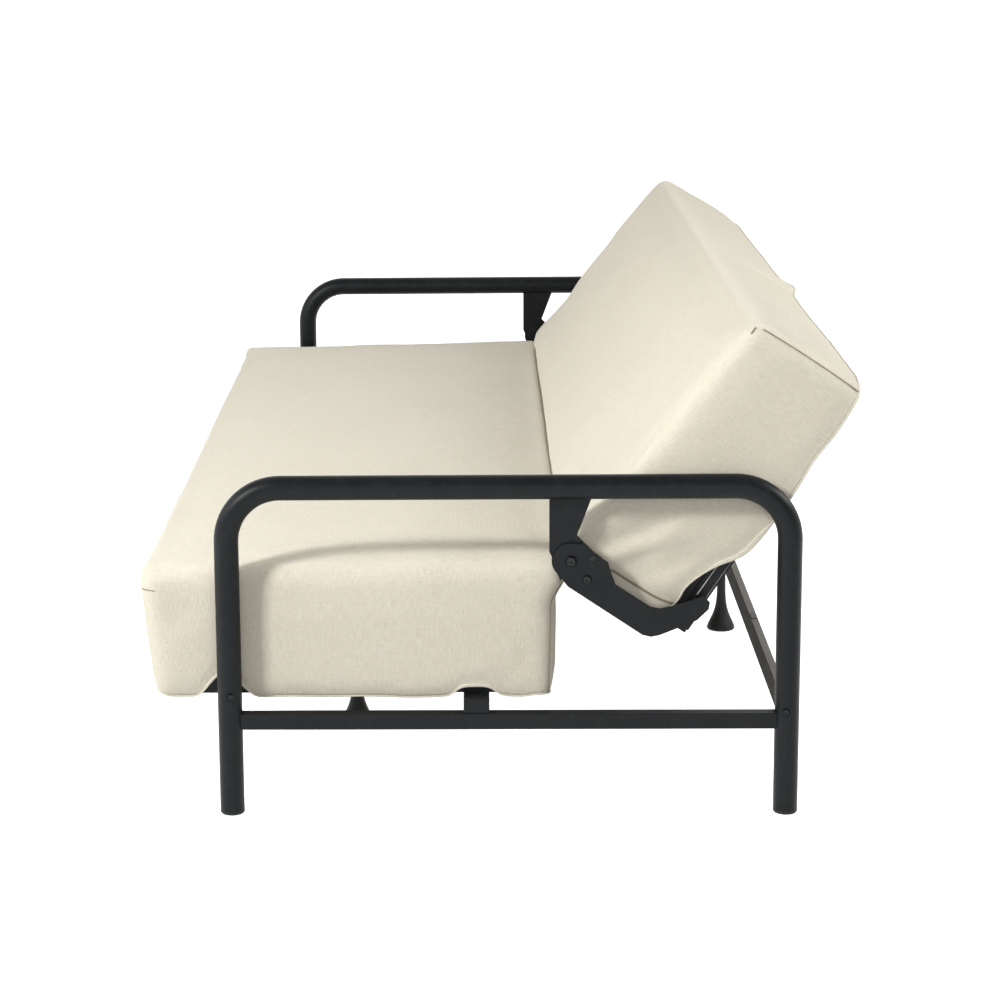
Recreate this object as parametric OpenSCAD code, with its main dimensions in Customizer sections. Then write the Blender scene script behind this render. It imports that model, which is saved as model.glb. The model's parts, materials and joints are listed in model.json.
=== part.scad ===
// Sofa bed on a bent steel tube frame. Two arm frames carry a fixed seat frame, and the back
// turns about a hinge on each arm until both padded halves lie level as one bed.
// Millimetres. +Z is up, the seat faces -Y and +X is the sitter's left-hand end.
// The origin is on the floor, below the middle of the whole sofa in its upright pose.

/* [Arm frames] */
// Distance between the centre planes of the two arm frames
arm_span = 2040; // [1900:10:2100]
// Distance between the front and rear leg centres
arm_depth = 863; // [855:1:875]
// How far the middle of the arm frames lies behind the origin
arm_set_back = 15.5; // [10:0.5:20]
// Height of the arm tube's top above the floor
arm_height = 540.5; // [538:0.5:544]
// Outside diameter of the arm tube
tube_d = 38; // [37:0.5:38.5]
// Wall thickness of every steel tube
tube_wall = 1.5; // [1.2:0.1:1.8]
// Centre-line radius of the bends in the arm tube
bend_r = 84; // [75:1:90]
// Width of the side rail across the sofa's end
rail_w = 20; // [18:1:22]
// Height of the side rail's section
rail_h = 25; // [22:1:26]
// Height of the side rail's underside above the floor
rail_z = 138.5; // [130:0.5:140]

/* [Rear stretcher] */
// Thickness of the flat tube that joins the rear legs
stretcher_t = 12; // [11:0.5:14]
// Height of the flat tube's section
stretcher_h = 40; // [36:1:40]
// Height of the flat tube's centre above the floor
stretcher_z = 167.5; // [160:0.5:167.5]
// How far the flat tube's centre lies in front of the rear leg centres
stretcher_ahead = 4; // [2:0.5:5]

/* [Frames under the cushions] */
// Side of the square tube in the seat frame and the back frame
bar = 25; // [22:1:25]
// Length of both frames along the sofa
frame_len = 1980; // [1980:1:1984]
// Distance of the two cross bars from the middle of the sofa
cross_x = 570; // [500:5:620]
// Height of the seat frame's underside above the floor
seat_frame_z = 186; // [185:0.5:188]
// Front face of the seat frame
seat_frame_front = -505; // [-510:1:-500]
// Rear face of the seat frame
seat_frame_rear = 75; // [70:1:76]
// Length of the back frame from its lower to its upper end
back_frame_len = 455; // [450:1:456]

/* [Slats] */
// Number of wooden slats in each frame
slat_count = 17; // [13:2:19]
// Distance from one slat to the next
slat_pitch = 112; // [108:1:114]
// Width of a slat
slat_w = 58; // [50:1:62]
// Thickness of a slat
slat_t = 8; // [7:0.5:9]

/* [Cushions] */
// Length of both cushions along the sofa
cushion_len = 1990; // [1988:1:1992]
// Front edge of the seat cushion at its fullest height
seat_front = -549; // [-552:1:-545]
// Rear face of the seat cushion
seat_rear = 86; // [80:1:90]
// Height of the seat's surface near the front edge
seat_top_front = 385.5; // [380:0.5:390]
// Height of the seat's surface near the hinge
seat_top_rear = 397; // [390:0.5:400]
// Height of the seat cover's hem above the floor
seat_hem = 180; // [178:0.5:184]
// Reach of the back cushion beyond the hinge
back_reach = 464; // [460:1:466]
// Thickness of the cover cloth with its hem and binding
cloth_t = 3; // [2:0.5:4]

/* [Hinge] */
// Distance from the front leg centre to the hinge axis
hinge_set_back = 528.7; // [525:0.1:532]
// Height of the hinge axis above the floor
hinge_z = 404.7; // [404:0.1:405.5]
// Slope of the back frame above the horizontal in the sofa pose
back_recline = 56; // [50:1:56]
// Depth from the hinge axis to the back frame's underside
back_drop = 215; // [214.5:0.1:215.2]
// Thickness of the bracket and lever plates
plate_t = 4; // [3.5:0.5:4]
// Radius of the pivot bolt's shank
pivot_r = 5; // [4:0.5:5]

/* [Feet] */
// Height of the visible rim of a leg's end cap
cap_h = 6; // [5:0.5:8]
// Radius of a bell foot where it meets the floor
bell_r = 27; // [24:0.5:30]
// Radius of a bell foot's neck
bell_neck_r = 8; // [7:0.5:9]

/* [Hidden] */
$fn = 64;
over = 1;            // how far a cutter runs past the surface that it cuts
arm_x = arm_span / 2;
tube_r = tube_d / 2;
tube_in_r = tube_r - tube_wall;
arm_z = arm_height - tube_r;
leg_front_y = arm_set_back - arm_depth / 2;
leg_rear_y = arm_set_back + arm_depth / 2;
rail_top = rail_z + rail_h;
stretcher_y = leg_rear_y - stretcher_ahead;
stretcher_top = stretcher_z + stretcher_h / 2;

hinge_y = leg_front_y + hinge_set_back;
frame_x = frame_len / 2;
seat_frame_top = seat_frame_z + bar;
back_low = -back_drop;
back_top = back_low + bar;

// Plates of one hinge, from the lever on the outside to the doubler on the inside
plate_gap = 1;
bracket_x = 1012;
lever_x = bracket_x + plate_t + plate_gap;
doubler_x = bracket_x - plate_gap - plate_t;
lever_out_x = lever_x + plate_t;
bracket_disc_r = 29.5;
lever_hub_r = 28;
doubler_hub_r = 25;
shank_gap = 0.02;    // between a fixed shank and its hole
run_gap = 0.05;      // between the turning pivot bolt and its bush
bush_r = 7;
bush_flange_r = 11;
bush_flange_t = 0.6;
rivet_at = [22.4, -24.7];
rivet_r = 3;
stop_at = [-10.4, -36.8];
stop_shank_r = 4;
stop_r = 6;

// Fasteners
bolt_r = 4;
bolt_head_r = 6;
bolt_head_h = 3.5;
bolt_hole_r = 4.25;
bolt_seat = 1.2;     // depth of the flat that a bolt head sits on
nut_r = 7.5;
nut_h = 6.5;
socket_r = 2.9;
socket_depth = 2.2;
seat_bolt_y = leg_front_y + 3;
seat_bolt_z = 194;
spacer_r = 8;
insert_x = [970, 998];   // threaded insert inside each end of the rear stretcher
insert_h = 30;
insert_gap = 0.05;

// Slats and their end holders
holder_wall = 2;
holder_gap = 0.2;
holder_h = slat_t + 2 * holder_wall;
foam_gap = 0.5;
seat_foam_z = seat_frame_top + holder_h + foam_gap;
back_foam_w = back_top + holder_h + foam_gap;

// Support post between the side rail and the seat frame
post_w = 40;
post_y = leg_front_y + 383;
post_x = 1024;
post_t = 4;
post_foot = 18;       // reach of the foot across the side rail, behind the web
post_screw_r = 3;

cap_plug_h = 24;
front_arch_w = 96;
front_arch_h = 32;
post_arch_w = 68;
post_arch_h = 19;
pad_size = [36, stretcher_t - 2, 1.6];

// ---- Helpers ----

// Draws its children at the left end (side 1) or mirrored to the right end (side -1)
module on_side(side) {
    if (side > 0) children();
    else mirror([1, 0, 0]) children();
}

module on_both_sides() {
    for (side = [1, -1]) on_side(side) children();
}

// Extrudes an outline, drawn with its x along +Y and its y along +Z, from x0 towards +X
module plate(x0, t) {
    translate([x0, 0, 0]) rotate([90, 0, 90]) linear_extrude(t) children();
}

module rod_x(x0, x1, at, r) {
    translate([x0, at[0], at[1]]) rotate([0, 90, 0]) cylinder(h = x1 - x0, r = r);
}

module span_box(lo, hi) {
    translate(lo) cube(hi - lo);
}

// Square tube between two corners, open at both ends along the axis
module box_tube(lo, hi, axis) {
    inset = tube_wall * ([1, 1, 1] - axis) - over * axis;
    difference() {
        span_box(lo, hi);
        span_box(lo + inset, hi - inset);
    }
}

// Places parts that are drawn with the hinge axis as origin and the back lying flat
module on_back() {
    translate([0, hinge_y, hinge_z]) rotate([back_recline, 0, 0]) children();
}

module at_hinge() {
    translate([0, hinge_y, hinge_z]) children();
}

module leg_rods(r) {
    for (y = [leg_front_y, leg_rear_y])
        translate([arm_x, y, 0]) cylinder(h = arm_height, r = r);
}

// Round bolt along X: a low domed head with a hex socket at x_head, and a shank back to x_end
module button_bolt(x_end, x_head, at, r, head_r, head_h) {
    difference() {
        union() {
            rod_x(x_end, x_head + over, at, r);
            translate([x_head, at[0], at[1]]) rotate([0, 90, 0])
                cylinder(h = head_h, r1 = head_r, r2 = 0.72 * head_r);
        }
        translate([x_head + head_h - socket_depth, at[0], at[1]]) rotate([0, 90, 0])
            cylinder(h = socket_depth + over, r = socket_r, $fn = 6);
    }
}

module hex_nut(x0, at, hole_r) {
    difference() {
        translate([x0, at[0], at[1]]) rotate([0, 90, 0]) cylinder(h = nut_h, r = nut_r, $fn = 6);
        rod_x(x0 - over, x0 + nut_h + over, at, hole_r);
    }
}

// Points of a circular arc, for rounding an outline
function arc(centre, r, from, to, steps = 4) =
    [for (i = [0:steps]) let (a = from + (to - from) * i / steps) centre + r * [cos(a), sin(a)]];

// Smooth arch of a hem, as an outline that is closed below
module hem_arch(y, z, w, h) {
    steps = 16;
    polygon(concat([[y - w / 2, z - over]],
        [for (i = [0:steps]) let (t = 2 * i / steps - 1)
            [y + t * w / 2, z + h * (1 + cos(180 * t)) / 2]],
        [[y + w / 2, z - over]]));
}

// ---- Arm frames ----

module arm_rod(r, z0) {
    for (y = [leg_front_y, leg_rear_y])
        translate([arm_x, y, z0]) cylinder(h = arm_z - bend_r - z0, r = r);
    translate([arm_x, leg_front_y + bend_r, arm_z]) rotate([-90, 0, 0])
        cylinder(h = arm_depth - 2 * bend_r, r = r);
    for (end = [[leg_front_y + bend_r, 90], [leg_rear_y - bend_r, 0]])
        translate([arm_x, end[0], arm_z - bend_r]) rotate([90, 0, 90]) rotate([0, 0, end[1]])
            rotate_extrude(angle = 90) translate([bend_r, 0]) circle(r = r);
}

module arm_tube(side) color("#2b2e31") on_side(side) difference() {
    arm_rod(tube_r, cap_h);
    arm_rod(tube_in_r, cap_h - over);
    for (at = [[seat_bolt_y, seat_bolt_z], [stretcher_y, stretcher_z]]) {
        rod_x(arm_x - tube_d, arm_x + tube_d, at, bolt_hole_r);
        rod_x(arm_x + tube_r - bolt_seat, arm_x + tube_d, at, bolt_head_r + 0.5);
    }
}

module side_rail(side) color("#2b2e31") on_side(side) difference() {
    box_tube([arm_x - rail_w / 2, leg_front_y, rail_z], [arm_x + rail_w / 2, leg_rear_y, rail_top],
        [0, 1, 0]);
    leg_rods(tube_r);
}

// Flat plate welded under the arm tube. Its lower end is a disc round the hinge axis, with a
// shoulder on each side that stops the lever.
module hinge_bracket(side) color("#26292c") on_side(side) difference() {
    at_hinge() plate(bracket_x, plate_t) union() {
        circle(r = bracket_disc_r);
        polygon([[-33, 102], [-33, 13.6], [-28.5, 4], [-25, -11], [-19.5, -24], [-15.6, -32.8],
            [-12.6, -26.4], [0, 0], [24, 16.2], [28.2, 19.1], [9.3, 39.3], [33, 102]]);
    }
    translate([arm_x, leg_front_y, arm_z]) rotate([-90, 0, 0]) cylinder(h = arm_depth, r = tube_r);
    at_hinge() rod_x(bracket_x - over, bracket_x + plate_t + over, [0, 0], bush_r + shank_gap);
}

module hinge_bushes() color("#8a8d90") on_both_sides() at_hinge() difference() {
    union() {
        rod_x(bracket_x - bush_flange_t, bracket_x + plate_t + bush_flange_t, [0, 0], bush_r);
        for (x = [bracket_x - bush_flange_t, bracket_x + plate_t])
            rod_x(x, x + bush_flange_t, [0, 0], bush_flange_r);
    }
    rod_x(doubler_x, lever_x, [0, 0], pivot_r + run_gap);
}

// Bent strip: a foot on the side rail, a web, and a shelf that holds the seat frame
module support_post(side) color("#26292c") on_side(side) difference() {
    translate([0, post_y - post_w / 2, 0]) union() {
        span_box([post_x + post_t - post_foot, 0, rail_top],
            [post_x + post_t, post_w, rail_top + post_t]);
        span_box([post_x, 0, rail_top], [post_x + post_t, post_w, seat_frame_z]);
        span_box([frame_x - bar, 0, seat_frame_z - post_t], [post_x + post_t, post_w, seat_frame_z]);
    }
    for (at = post_screw_places()) translate(at)
        cylinder(h = 2 * post_t + over, r = post_screw_r + shank_gap, center = true);
}

function post_screw_places() = [
    [post_x + post_t - post_foot / 2 - 3, post_y, rail_top + post_t / 2],
    [frame_x - bar / 2, post_y, seat_frame_z - post_t / 2]];

module support_post_screws() color("#6f7276") on_both_sides() {
    foot = post_screw_places()[0];
    shelf = post_screw_places()[1];
    translate([foot[0], foot[1], rail_top]) {
        cylinder(h = post_t, r = post_screw_r);
        translate([0, 0, post_t]) cylinder(h = 2.5, r1 = 4.5, r2 = 3.2);
    }
    translate([shelf[0], shelf[1], seat_frame_z - post_t]) {
        cylinder(h = post_t, r = post_screw_r);
        translate([0, 0, -2.5]) cylinder(h = 2.5, r1 = 3.2, r2 = 4.5);
    }
}

// Plastic end cap of a leg: a rounded rim below the tube and a hollow plug inside it
module foot_cap(side, y) color("#1c1d1e") on_side(side) translate([arm_x, y, 0]) rotate_extrude()
    polygon([[0, 0], [tube_r - 4, 0], [tube_r - 1.4, 0.9], [tube_r, 3], [tube_r, cap_h],
        [tube_in_r - 0.1, cap_h], [tube_in_r - 0.1, cap_h + cap_plug_h],
        [tube_in_r - 3, cap_h + cap_plug_h], [tube_in_r - 3, 4], [0, 4]]);

// ---- Rear stretcher ----

module rear_stretcher() color("#3a3b3b") difference() {
    box_tube([-arm_x, stretcher_y - stretcher_t / 2, stretcher_z - stretcher_h / 2],
        [arm_x, stretcher_y + stretcher_t / 2, stretcher_top], [1, 0, 0]);
    on_both_sides() leg_rods(tube_r);
}

module stretcher_inserts() color("#6f7276") on_both_sides() difference() {
    half_t = stretcher_t / 2 - tube_wall - insert_gap;
    span_box([insert_x[0], stretcher_y - half_t, stretcher_z - insert_h / 2],
        [insert_x[1], stretcher_y + half_t, stretcher_z + insert_h / 2]);
    rod_x(insert_x[0] - over, insert_x[1] + over, [stretcher_y, stretcher_z], bolt_r + shank_gap);
}

module stretcher_bolts() color("#1f2022") on_both_sides()
    button_bolt(insert_x[0] + 6, arm_x + tube_r - bolt_seat, [stretcher_y, stretcher_z],
        bolt_r, bolt_head_r, bolt_head_h);

// Thin pads that the back frame rests on when it lies flat
module stretcher_pads() color("#161616") on_both_sides()
    for (x = [frame_x - bar / 2, cross_x])
        translate([x - pad_size[0] / 2, stretcher_y - pad_size[1] / 2, stretcher_top]) cube(pad_size);

// Bell foot: its radius falls off smoothly from the rim to the neck
module bell_foot(x, y, top) translate([x, y, 0]) rotate_extrude() {
    rim = 3;
    flare = 29.5;
    steps = 14;
    flare_h = 92;
    polygon(concat([[0, 0], [bell_r - 2, 0]],
        [for (i = [0:steps]) let (z = flare_h * i / steps)
            [bell_neck_r + (bell_r - bell_neck_r) * exp(-pow(z / flare, 1.5)), rim + z]],
        [[bell_neck_r, top], [0, top]]));
}

module rear_centre_foot() color("#1a1b1c") bell_foot(0, stretcher_y, stretcher_z - stretcher_h / 2);

// ---- Seat frame ----

module seat_long_bar(y) color("#2b2e31")
    box_tube([bar - frame_x, y, seat_frame_z], [frame_x - bar, y + bar, seat_frame_top], [1, 0, 0]);

module seat_side_bar(side) color("#2b2e31") on_side(side) difference() {
    box_tube([frame_x - bar, seat_frame_front, seat_frame_z], [frame_x, seat_frame_rear, seat_frame_top],
        [0, 1, 0]);
    rod_x(frame_x - bar - over, frame_x + over, [seat_bolt_y, seat_bolt_z], bolt_hole_r);
}

module seat_cross_bar(side) color("#2b2e31") on_side(side)
    box_tube([cross_x - bar / 2, seat_frame_front + bar, seat_frame_z],
        [cross_x + bar / 2, seat_frame_rear - bar, seat_frame_top], [0, 1, 0]);

module seat_foot(side) color("#1a1b1c") on_side(side) bell_foot(cross_x, leg_front_y + 177, seat_frame_z);

module seat_bolts() color("#1f2022") on_both_sides()
    button_bolt(frame_x - bar - nut_h - 2, arm_x + tube_r - bolt_seat, [seat_bolt_y, seat_bolt_z],
        bolt_r, bolt_head_r, bolt_head_h);

module seat_bolt_spacers() color("#2b2e31") on_both_sides() difference() {
    rod_x(frame_x, arm_x, [seat_bolt_y, seat_bolt_z], spacer_r);
    rod_x(frame_x - over, arm_x + over, [seat_bolt_y, seat_bolt_z], bolt_hole_r);
    leg_rods(tube_r);
}

module seat_bolt_nuts() color("#6f7276") on_both_sides()
    hex_nut(frame_x - bar - nut_h, [seat_bolt_y, seat_bolt_z], bolt_r + shank_gap);

// ---- Slats, drawn from depth y0 to y1 on a frame whose top is at height z ----

module slats(y0, y1, z) color("#d8b98a")
    for (i = [0:slat_count - 1])
        translate([(i - (slat_count - 1) / 2) * slat_pitch - slat_w / 2, y0 + holder_wall, z + holder_wall])
            cube([slat_w, y1 - y0 - 2 * holder_wall, slat_t]);

module slat_holders(y0, y1, z) color("#1c1d1e") {
    holder_w = slat_w + 2 * holder_wall + 2 * holder_gap;
    for (i = [0:slat_count - 1], y = [y0, y1 - bar])
        translate([(i - (slat_count - 1) / 2) * slat_pitch, y, z]) difference() {
            translate([-holder_w / 2, 0, 0]) cube([holder_w, bar, holder_h]);
            translate([-slat_w / 2 - holder_gap, y == y0 ? holder_wall - holder_gap : -over,
                    holder_wall - holder_gap])
                cube([slat_w + 2 * holder_gap, bar - holder_wall + holder_gap + over, slat_t + 2 * holder_gap]);
        }
}

// ---- Cushions ----

module along_sofa(len) {
    plate(-len / 2, len) children();
}

module seat_cushion() color("#e3dccb") along_sofa(cushion_len) {
    front_r = 30;
    rear_r = 16;
    lean = 0.1235;       // how far the front face leans in for each millimetre down
    front_top = seat_top_front - front_r;
    polygon(concat(
        [[seat_front + lean * (front_top - seat_foam_z), seat_foam_z], [seat_rear, seat_foam_z]],
        arc([seat_rear - rear_r, seat_top_rear - rear_r], rear_r, 0, 90),
        [[(seat_front + seat_rear) / 2 - 90, seat_top_front + 6]],
        arc([seat_front + front_r, front_top], front_r, 90, 180, 6)));
}

// Lower edge of the seat's cover: a thin wall round the seat frame, arched over the bolt
// spacer behind each front leg and over each support post
module seat_cover_skirt() color("#e3dccb") difference() {
    front_low = seat_front + 21;
    front_high = seat_front + 16.5;
    top = seat_foam_z - foam_gap / 2;
    along_sofa(cushion_len)
        polygon([[front_low, seat_hem], [seat_rear, seat_hem], [seat_rear, top], [front_high, top]]);
    along_sofa(cushion_len - 2 * cloth_t)
        polygon([[front_low + cloth_t, seat_hem - over], [seat_rear - cloth_t, seat_hem - over],
            [seat_rear - cloth_t, top + over], [front_high + cloth_t, top + over]]);
    along_sofa(cushion_len + 2 * over) {
        hem_arch(leg_front_y, seat_hem, front_arch_w, front_arch_h);
        hem_arch(post_y, seat_hem, post_arch_w, post_arch_h);
    }
}

module back_cushion() color("#e3dccb") on_back() along_sofa(cushion_len) {
    corner_r = 10;
    corner_w = -32;
    polygon(concat(
        [[31, back_foam_w], [back_reach, back_foam_w]],
        arc([back_reach - corner_r, corner_w - corner_r], corner_r, 0, 86),
        [[back_reach / 2, -12], [4, 0], [-5, -12], [16, -74]]));
}

// Lower edge of the back's cover: both end walls, cut back over the hinge levers, and the wall
// round the upper end
module back_cover_skirt() color("#e3dccb") on_back() difference() {
    low = back_low - foam_gap;
    top = back_foam_w - foam_gap / 2;
    along_sofa(cushion_len)
        polygon([[70, top], [101, -189], [126, -201], [146, -214], [158, low],
            [back_reach, low], [back_reach, top]]);
    along_sofa(cushion_len - 2 * cloth_t)
        polygon([[0, low - over], [back_reach - cloth_t, low - over],
            [back_reach - cloth_t, top + over], [0, top + over]]);
}

// ---- Hinge parts that turn with the back ----

module lever_bores(x0, x1) {
    rod_x(x0 - over, x1 + over, [0, 0], pivot_r + shank_gap);
    rod_x(x0 - over, x1 + over, rivet_at, rivet_r + shank_gap);
    rod_x(x0 - over, x1 + over, stop_at, stop_shank_r + shank_gap);
}

// Cranked lever: a hub, an arm that hangs down past the cushions, and a foot on the back frame
module back_lever(side) color("#26292c") on_side(side) on_back() difference() {
    plate(lever_x, plate_t) union() {
        circle(r = lever_hub_r);
        polygon([[-27, 3], [-32, -7], [-36, -18], [-36, -157], [-31, -170], [-22, -179], [3, -196], [3, -209],
            [22, -208.5], [30, -213.5], [44, -216.5], [54, -218.5], [64, -214], [67, -200], [35, -177],
            [13, -156], [7.5, -142], [7, -78], [19, -61], [29.4, -49], [30, -28], [35, -2], [26, 8],
            [0, 0]]);
    }
    lever_bores(lever_x, lever_out_x);
}

module lever_doubler(side) color("#26292c") on_side(side) on_back() difference() {
    plate(doubler_x, plate_t) union() {
        circle(r = doubler_hub_r);
        polygon([[-23, -9], [-27, -46], [-8, -52], [10, -50], [29, -38], [29, -20], [22, -11], [0, 0]]);
    }
    lever_bores(doubler_x, doubler_x + plate_t);
}

// Blocks welded between each lever's foot and the back frame
module lever_spacers() color("#2b2e31") on_both_sides() on_back()
    box_tube([frame_x, 8, back_low + 3], [lever_x, 58, back_top - 3], [0, 1, 0]);

module pivot_bolts() color("#1f2022") on_both_sides() on_back()
    button_bolt(doubler_x - nut_h - over, lever_out_x, [0, 0], pivot_r, 9, 4.5);

module pivot_nuts() color("#1f2022") on_both_sides() on_back()
    hex_nut(doubler_x - nut_h, [0, 0], pivot_r + shank_gap);

module lever_rivets() color("#1f2022") on_both_sides() on_back() {
    rod_x(doubler_x - 2, lever_out_x + 2, rivet_at, rivet_r);
    rod_x(doubler_x - 2, doubler_x, rivet_at, rivet_r + 1.5);
    rod_x(lever_out_x, lever_out_x + 2, rivet_at, rivet_r + 1.5);
}

module stop_pins() color("#1f2022") on_both_sides() on_back() {
    button_bolt(doubler_x - 2, lever_out_x, stop_at, stop_shank_r, 7.5, 4);
    rod_x(doubler_x - 2.5, doubler_x, stop_at, stop_shank_r + 1.5);
}

module stop_sleeves() color("#6f7276") on_both_sides() on_back() difference() {
    rod_x(doubler_x + plate_t, lever_x, stop_at, stop_r);
    rod_x(doubler_x, lever_out_x, stop_at, stop_shank_r + shank_gap);
}

// ---- Back frame ----

module back_long_bar(u) color("#2b2e31") on_back()
    box_tube([bar - frame_x, u, back_low], [frame_x - bar, u + bar, back_top], [1, 0, 0]);

module back_side_bar(side) color("#2b2e31") on_side(side) on_back()
    box_tube([frame_x - bar, 0, back_low], [frame_x, back_frame_len, back_top], [0, 1, 0]);

module back_cross_bar(side) color("#2b2e31") on_side(side) on_back()
    box_tube([cross_x - bar / 2, bar, back_low],
        [cross_x + bar / 2, back_frame_len - bar, back_top], [0, 1, 0]);

arm_tube(1);  // arm_tube_left
arm_tube(-1);  // arm_tube_right
side_rail(1);  // side_rail_left
side_rail(-1);  // side_rail_right
hinge_bracket(1);  // hinge_bracket_left
hinge_bracket(-1);  // hinge_bracket_right
hinge_bushes();
support_post(1);  // support_post_left
support_post(-1);  // support_post_right
support_post_screws();
foot_cap(1, leg_front_y);  // foot_cap_front_left
foot_cap(-1, leg_front_y);  // foot_cap_front_right
foot_cap(1, leg_rear_y);  // foot_cap_rear_left
foot_cap(-1, leg_rear_y);  // foot_cap_rear_right
rear_stretcher();
stretcher_inserts();
stretcher_bolts();
stretcher_pads();
rear_centre_foot();
seat_long_bar(seat_frame_front);  // seat_front_bar
seat_long_bar(seat_frame_rear - bar);  // seat_rear_bar
seat_side_bar(1);  // seat_side_bar_left
seat_side_bar(-1);  // seat_side_bar_right
seat_cross_bar(1);  // seat_cross_bar_left
seat_cross_bar(-1);  // seat_cross_bar_right
seat_foot(1);  // seat_foot_left
seat_foot(-1);  // seat_foot_right
seat_bolts();
seat_bolt_spacers();
seat_bolt_nuts();
slats(seat_frame_front, seat_frame_rear, seat_frame_top);  // seat_slats
slat_holders(seat_frame_front, seat_frame_rear, seat_frame_top);  // seat_slat_holders
seat_cushion();
seat_cover_skirt();
back_lever(1);  // back_lever_left
back_lever(-1);  // back_lever_right
lever_doubler(1);  // lever_doubler_left
lever_doubler(-1);  // lever_doubler_right
lever_spacers();
pivot_bolts();
pivot_nuts();
lever_rivets();
stop_pins();
stop_sleeves();
back_long_bar(0);  // back_lower_bar
back_long_bar(back_frame_len - bar);  // back_upper_bar
back_side_bar(1);  // back_side_bar_left
back_side_bar(-1);  // back_side_bar_right
back_cross_bar(1);  // back_cross_bar_left
back_cross_bar(-1);  // back_cross_bar_right
on_back() slats(0, back_frame_len, back_top);  // back_slats
on_back() slat_holders(0, back_frame_len, back_top);  // back_slat_holders
back_cushion();
back_cover_skirt();
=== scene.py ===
import json
import math

import bpy
import numpy as np
from mathutils import Matrix, Vector, noise


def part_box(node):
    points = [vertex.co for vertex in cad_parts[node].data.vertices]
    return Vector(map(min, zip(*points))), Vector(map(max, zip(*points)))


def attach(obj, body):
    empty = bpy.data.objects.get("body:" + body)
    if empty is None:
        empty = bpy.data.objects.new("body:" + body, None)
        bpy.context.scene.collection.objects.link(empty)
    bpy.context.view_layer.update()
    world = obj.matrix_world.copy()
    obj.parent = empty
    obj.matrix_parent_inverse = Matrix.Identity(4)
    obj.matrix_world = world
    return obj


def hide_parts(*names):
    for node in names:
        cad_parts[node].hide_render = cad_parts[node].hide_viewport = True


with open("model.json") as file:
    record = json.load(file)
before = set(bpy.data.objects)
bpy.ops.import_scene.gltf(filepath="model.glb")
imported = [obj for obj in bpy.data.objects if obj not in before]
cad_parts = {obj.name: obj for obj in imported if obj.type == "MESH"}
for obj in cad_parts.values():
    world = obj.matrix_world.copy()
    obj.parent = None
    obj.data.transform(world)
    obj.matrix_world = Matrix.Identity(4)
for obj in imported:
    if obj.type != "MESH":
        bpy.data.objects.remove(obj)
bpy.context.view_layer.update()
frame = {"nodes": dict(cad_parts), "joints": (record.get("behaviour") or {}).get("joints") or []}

scene = bpy.context.scene

# ---- Camera -------------------------------------------------------------------------------

camera = bpy.data.objects.new("camera", bpy.data.cameras.new("camera"))
scene.collection.objects.link(camera)
scene.camera = camera
camera.matrix_world = (
    Matrix.Translation((4.8651, -0.0345, 1.4177))
    @ Matrix.Rotation(math.radians(91.464), 4, "Z")
    @ Matrix.Rotation(math.radians(78.183), 4, "X")
    @ Matrix.Rotation(math.radians(-0.606), 4, "Z")
)
camera.data.lens = 93.23
camera.data.sensor_width = 36
camera.data.shift_x = 0.0907
camera.data.shift_y = -0.0712
camera.data.clip_end = 60
scene.view_settings.view_transform = "Standard"

# ---- Places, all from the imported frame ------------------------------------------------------

HINGE = next(j for j in frame["joints"] if j["name"] == "back_fold")
HINGE_AT = np.array(HINGE["pos_m"])
RECLINE = math.radians(HINGE["range_deg"][1])
COS_R, SIN_R = math.cos(RECLINE), math.sin(RECLINE)
SEAT_LO, SEAT_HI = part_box("seat_cushion")
HEM_LO, HEM_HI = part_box("seat_cover_skirt")
TUBE_LO, TUBE_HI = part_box("arm_tube_left")
TUBE_R = (TUBE_HI.x - TUBE_LO.x) / 2
LEG_Y = TUBE_LO.y + TUBE_R
POST_LO, POST_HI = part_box("support_post_left")
POST_Y = (POST_LO.y + POST_HI.y) / 2


def back_to_row(x, u, w):
    """From the back's own frame (u up the back, w out of its front) to the row frame."""
    return np.stack([
        x,
        HINGE_AT[1] + u * COS_R - w * SIN_R,
        HINGE_AT[2] + u * SIN_R + w * COS_R,
    ], axis=-1)


def row_to_back(co):
    y, z = co[:, 1] - HINGE_AT[1], co[:, 2] - HINGE_AT[2]
    return np.stack([co[:, 0], y * COS_R + z * SIN_R, z * COS_R - y * SIN_R], axis=-1)


# ---- Materials ------------------------------------------------------------------------------

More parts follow.
